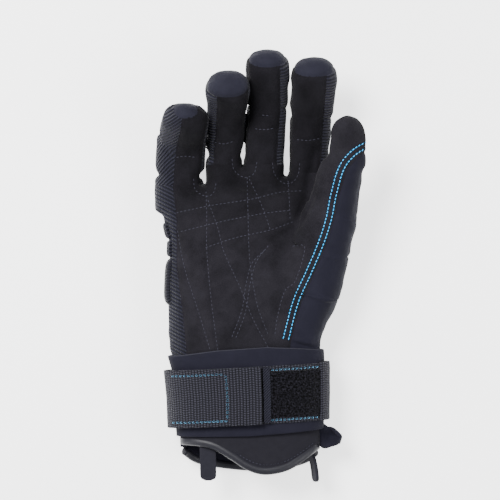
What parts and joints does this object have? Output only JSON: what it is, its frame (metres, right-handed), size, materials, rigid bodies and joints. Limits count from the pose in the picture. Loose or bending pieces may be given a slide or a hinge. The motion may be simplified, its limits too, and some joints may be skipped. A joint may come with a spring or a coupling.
{
  "type": "sailing glove",
  "caption": "Right-hand full-finger sailing glove with suede palm, ribbed finger sides, neoprene thumb gusset and wrist wrap, webbing hook-and-loop strap, scalloped bound cuff and pull tabs.",
  "frame": {"origin": "centre of the flat outer face of the pad on the back of the hand, which the glove rests on", "axes": "+X towards the thumb, +Y towards the fingertips, +Z out of the palm"},
  "size_m": [0.1178, 0.2421, 0.0572],
  "materials": {
    "back_pad_print": "satin moulded texture",
    "smooth_stretch_fabric": "smooth stretch knit, slight sheen",
    "neoprene": "jersey-faced neoprene, matt",
    "lining_fabric": "matt brushed fabric",
    "binding": "smooth folded binding, slight gloss",
    "hook_pile": "hook tape",
    "palm_suede": "matt suede with dark quilting stitches",
    "ribbed_stretch_fabric": "ribbed stretch knit",
    "webbing": "ribbed woven webbing with pale blue box stitching",
    "loop_pile": "fuzzy loop pile",
    "tab_fabric": "matt folded fabric"
  },
  "bodies": {
    "hand": {"back_pad": "back_pad_print", "back_panel": "smooth_stretch_fabric", "cuff_back": "neoprene", "cuff_front": "lining_fabric", "finger_webs": "smooth_stretch_fabric", "hem_binding_back": "binding", "hem_binding_front": "binding", "knuckle_ridges": "ribbed_stretch_fabric", "loop_backing": "webbing", "loop_patch": "loop_pile", "palm_panel": "palm_suede", "palm_reinforcement": "palm_suede", "side_panel": "smooth_stretch_fabric", "strap_base": "webbing", "strap_fold": "webbing", "thumb_panel": "neoprene", "wrap_corner": "neoprene", "wrist_wrap": "neoprene"},
    "index_base": {"index_base_back": "smooth_stretch_fabric", "index_base_front": "palm_suede", "index_base_side_walls": "ribbed_stretch_fabric"},
    "index_tip": {"index_tip_cap": "smooth_stretch_fabric", "index_tip_front": "palm_suede", "index_tip_side_walls": "ribbed_stretch_fabric"},
    "middle_base": {"middle_base_back": "smooth_stretch_fabric", "middle_base_front": "palm_suede", "middle_base_side_walls": "ribbed_stretch_fabric"},
    "middle_tip": {"middle_tip_cap": "smooth_stretch_fabric", "middle_tip_front": "palm_suede", "middle_tip_side_walls": "ribbed_stretch_fabric"},
    "ring_base": {"ring_base_back": "smooth_stretch_fabric", "ring_base_front": "palm_suede", "ring_base_side_walls": "ribbed_stretch_fabric"},
    "ring_tip": {"ring_tip_cap": "smooth_stretch_fabric", "ring_tip_front": "palm_suede", "ring_tip_side_walls": "ribbed_stretch_fabric"},
    "little_base": {"little_base_back": "smooth_stretch_fabric", "little_base_front": "palm_suede", "little_base_side_walls": "ribbed_stretch_fabric"},
    "little_tip": {"little_tip_cap": "smooth_stretch_fabric", "little_tip_front": "palm_suede", "little_tip_side_walls": "ribbed_stretch_fabric"},
    "thumb_base": {"thumb_base_back": "neoprene", "thumb_base_front": "palm_suede"},
    "thumb_tip": {"thumb_tip_back": "neoprene", "thumb_tip_front": "palm_suede"},
    "strap": {"strap": "webbing", "hook_patch": "hook_pile"},
    "tab_left": {"pull_tab_left": "tab_fabric"},
    "tab_right": {"pull_tab_right": "tab_fabric"}
  },
  "joints": [
    {"name": "index_base_flex", "type": "hinge", "parent": "hand", "child": "index_base", "pos_m": [0.0383, 0.065, 0.0276], "axis": [1, 0, 0], "range_deg": [-8, 28], "stiffness_Nm_per_rad": 0.06},
    {"name": "index_tip_flex", "type": "hinge", "parent": "index_base", "child": "index_tip", "pos_m": [0.0389, 0.08962, 0.03194], "axis": [1, 0, 0], "range_deg": [-18, 18], "stiffness_Nm_per_rad": 0.06},
    {"name": "middle_base_flex", "type": "hinge", "parent": "hand", "child": "middle_base", "pos_m": [0.0142, 0.069, 0.0277], "axis": [1, 0, 0], "range_deg": [-10, 75], "stiffness_Nm_per_rad": 0.06},
    {"name": "middle_tip_flex", "type": "hinge", "parent": "middle_base", "child": "middle_tip", "pos_m": [0.0154, 0.09443, 0.03311], "axis": [1, 0, 0], "range_deg": [-18, 75], "stiffness_Nm_per_rad": 0.06},
    {"name": "ring_base_flex", "type": "hinge", "parent": "hand", "child": "ring_base", "pos_m": [-0.0085, 0.0685, 0.0275], "axis": [1, 0, 0], "range_deg": [-20, 70], "stiffness_Nm_per_rad": 0.06},
    {"name": "ring_tip_flex", "type": "hinge", "parent": "ring_base", "child": "ring_tip", "pos_m": [-0.007, 0.08774, 0.03817], "axis": [1, 0, 0], "range_deg": [-18, 75], "stiffness_Nm_per_rad": 0.06},
    {"name": "little_base_flex", "type": "hinge", "parent": "hand", "child": "little_base", "pos_m": [-0.0342, 0.0575, 0.027], "axis": [1, 0, 0], "range_deg": [-20, 70], "stiffness_Nm_per_rad": 0.06},
    {"name": "little_tip_flex", "type": "hinge", "parent": "little_base", "child": "little_tip", "pos_m": [-0.033, 0.07412, 0.03621], "axis": [1, 0, 0], "range_deg": [-18, 75], "stiffness_Nm_per_rad": 0.06},
    {"name": "thumb_base_flex", "type": "hinge", "parent": "hand", "child": "thumb_base", "pos_m": [0.04837, 0.03661, 0.04358], "axis": [0.952, -0.2339, 0.1977], "range_deg": [0, 3], "stiffness_Nm_per_rad": 0.06},
    {"name": "thumb_tip_flex", "type": "hinge", "parent": "thumb_base", "child": "thumb_tip", "pos_m": [0.05345, 0.0626, 0.04663], "axis": [0.6831, -0.22, 0.6963], "range_deg": [0, 5], "stiffness_Nm_per_rad": 0.06},
    {"name": "strap_peel", "type": "hinge", "parent": "hand", "child": "strap", "pos_m": [-0.036, -0.06659, 0.0324], "axis": [0.0523, -0.9986, 0], "range_deg": [0, 120]},
    {"name": "tab_left_swing", "type": "hinge", "parent": "hand", "child": "tab_left", "pos_m": [-0.0182, -0.086, 0.026], "axis": [1, 0, 0], "range_deg": [-3, 14], "stiffness_Nm_per_rad": 0.01},
    {"name": "tab_right_swing", "type": "hinge", "parent": "hand", "child": "tab_right", "pos_m": [0.0374, -0.088, 0.019], "axis": [0, 0, 1], "range_deg": [-15, 0], "stiffness_Nm_per_rad": 0.01}
  ]
}
